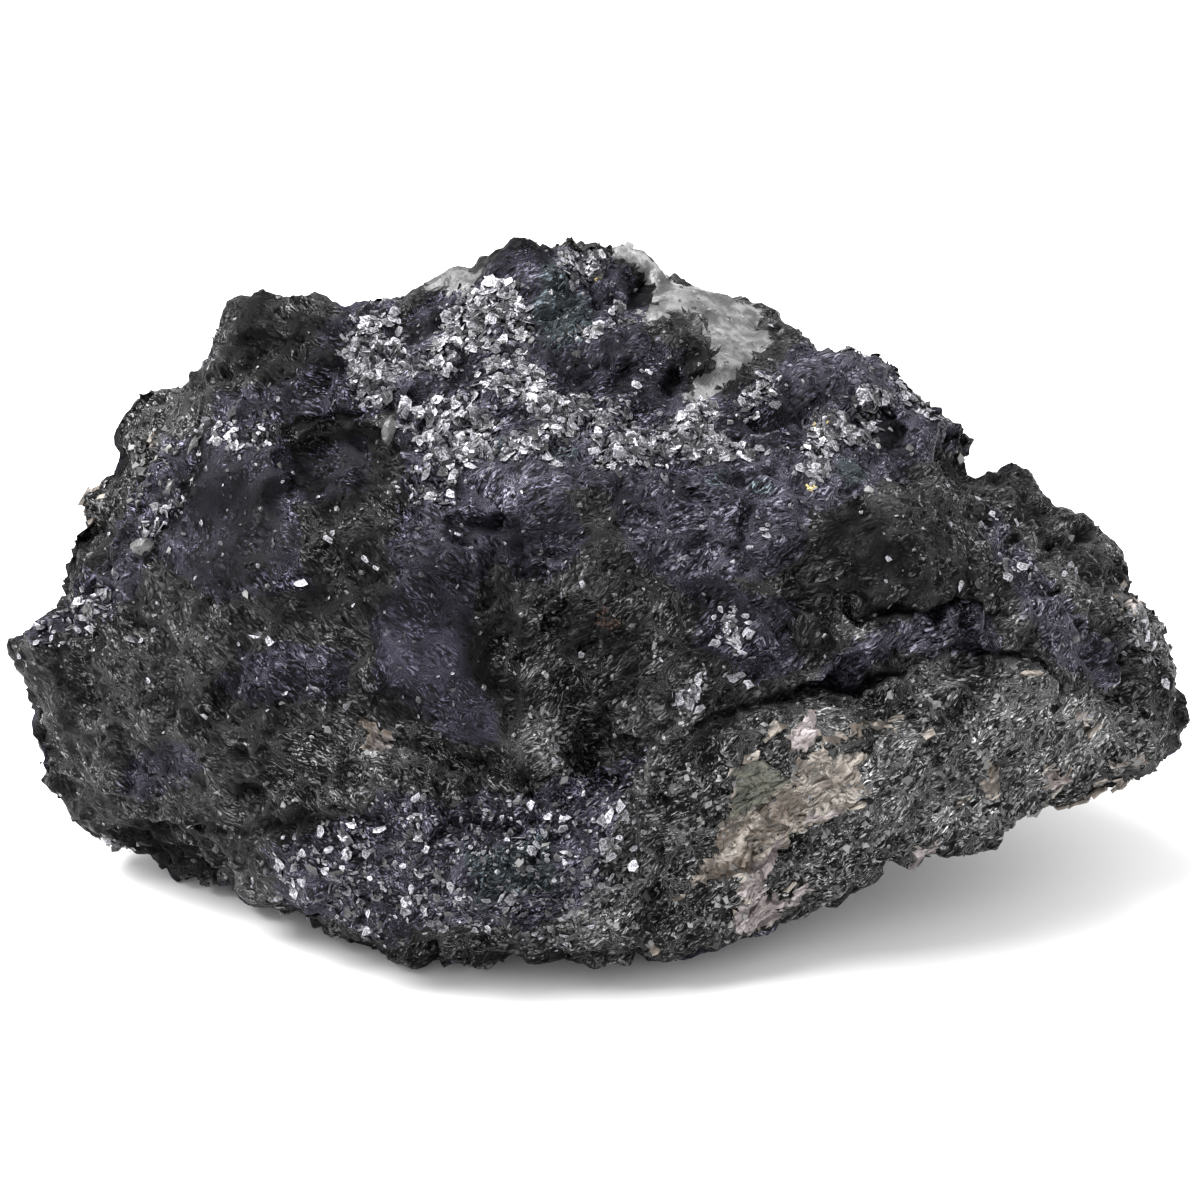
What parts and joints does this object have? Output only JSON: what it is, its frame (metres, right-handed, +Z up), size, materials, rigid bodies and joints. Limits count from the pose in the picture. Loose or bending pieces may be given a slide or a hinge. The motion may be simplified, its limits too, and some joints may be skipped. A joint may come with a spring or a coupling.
{
  "type": "skutterudite specimen",
  "caption": "Rough fist-sized lump of dark grey-violet skutterudite ore with silvery mica flakes and pale quartz and calcite veins, lying on a small flat spot",
  "frame": {"origin": "under the middle of the stone's box, on the plane that it rests on", "axes": "+X runs along the stone to the right, +Y points away from the front, and +Z is up"},
  "size_m": [0.1182, 0.0672, 0.0634],
  "materials": {
    "ore": "rough broken ore, half metallic, with pale gangue grains and silvery mica flakes"
  },
  "bodies": {
    "root": {"skutterudite_rock": "ore"}
  },
  "joints": []
}
